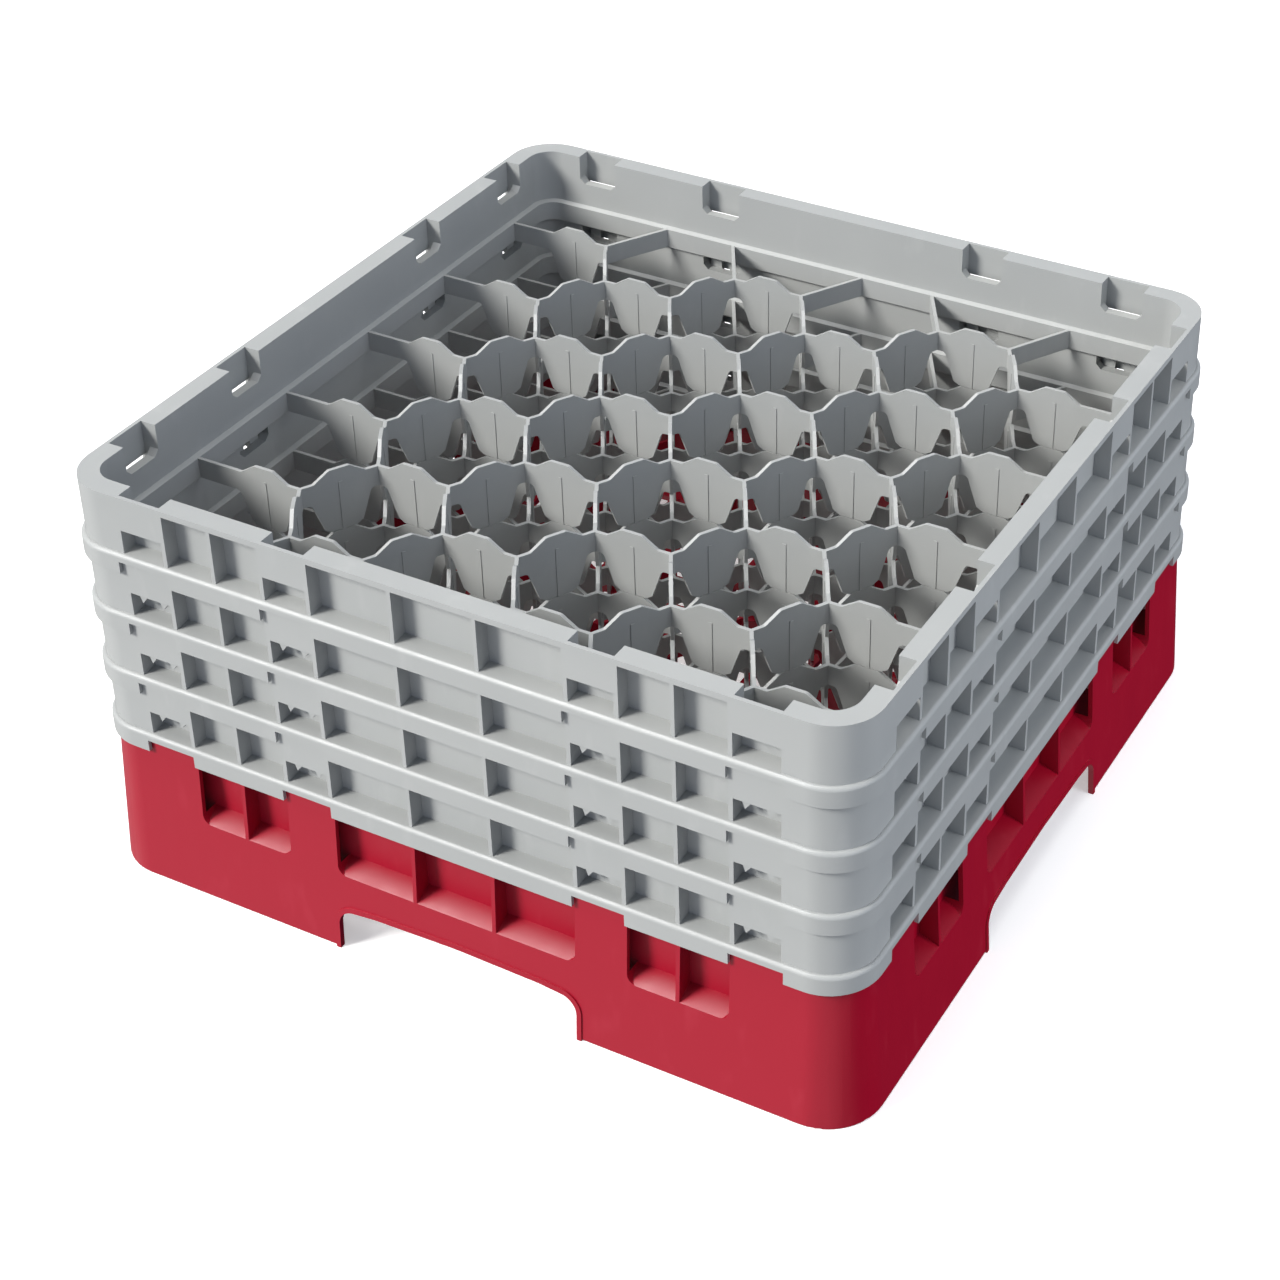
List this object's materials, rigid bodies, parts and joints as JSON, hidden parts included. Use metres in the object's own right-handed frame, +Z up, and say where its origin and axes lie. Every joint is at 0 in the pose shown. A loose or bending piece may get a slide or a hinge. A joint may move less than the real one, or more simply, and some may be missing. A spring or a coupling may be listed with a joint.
{
  "type": "glass rack",
  "caption": "Square ware-washing rack: a flared base tray and stacked wall extenders with honeycomb dividers that hold glasses or bottles upright.",
  "frame": {"origin": "middle of the footprint, on the surface that the base stands on", "axes": "+Z up; -Y is the front wall, +X the right wall; every side is laid out the same way"},
  "size_m": [0.502, 0.502, 0.2667],
  "materials": {
    "base_plastic": "fine satin moulded polypropylene, cherry red",
    "extender_plastic": "fine satin moulded polypropylene, soft grey"
  },
  "bodies": {
    "base": {"base_front_wall": "base_plastic", "base_right_wall": "base_plastic", "base_back_wall": "base_plastic", "base_left_wall": "base_plastic", "base_corners": "base_plastic", "base_floor": "base_plastic", "base_dividers": "base_plastic"},
    "extender_1": {"extender_1_front_wall": "extender_plastic", "extender_1_right_wall": "extender_plastic", "extender_1_back_wall": "extender_plastic", "extender_1_left_wall": "extender_plastic", "extender_1_corners": "extender_plastic", "extender_1_dividers": "extender_plastic", "extender_1_snap_tabs": "extender_plastic"},
    "extender_2": {"extender_2_front_wall": "extender_plastic", "extender_2_right_wall": "extender_plastic", "extender_2_back_wall": "extender_plastic", "extender_2_left_wall": "extender_plastic", "extender_2_corners": "extender_plastic", "extender_2_dividers": "extender_plastic", "extender_2_snap_tabs": "extender_plastic"},
    "extender_3": {"extender_3_front_wall": "extender_plastic", "extender_3_right_wall": "extender_plastic", "extender_3_back_wall": "extender_plastic", "extender_3_left_wall": "extender_plastic", "extender_3_corners": "extender_plastic", "extender_3_dividers": "extender_plastic", "extender_3_snap_tabs": "extender_plastic"},
    "extender_4": {"extender_4_front_wall": "extender_plastic", "extender_4_right_wall": "extender_plastic", "extender_4_back_wall": "extender_plastic", "extender_4_left_wall": "extender_plastic", "extender_4_corners": "extender_plastic", "extender_4_dividers": "extender_plastic", "extender_4_snap_tabs": "extender_plastic"}
  },
  "joints": [
    {"name": "extender_1_lift", "type": "slide", "parent": "base", "child": "extender_1", "axis": [0, 0, 1], "range_m": [0, 0.06]},
    {"name": "extender_2_lift", "type": "slide", "parent": "extender_1", "child": "extender_2", "axis": [0, 0, 1], "range_m": [0, 0.06]},
    {"name": "extender_3_lift", "type": "slide", "parent": "extender_2", "child": "extender_3", "axis": [0, 0, 1], "range_m": [0, 0.06]},
    {"name": "extender_4_lift", "type": "slide", "parent": "extender_3", "child": "extender_4", "axis": [0, 0, 1], "range_m": [0, 0.06]}
  ]
}
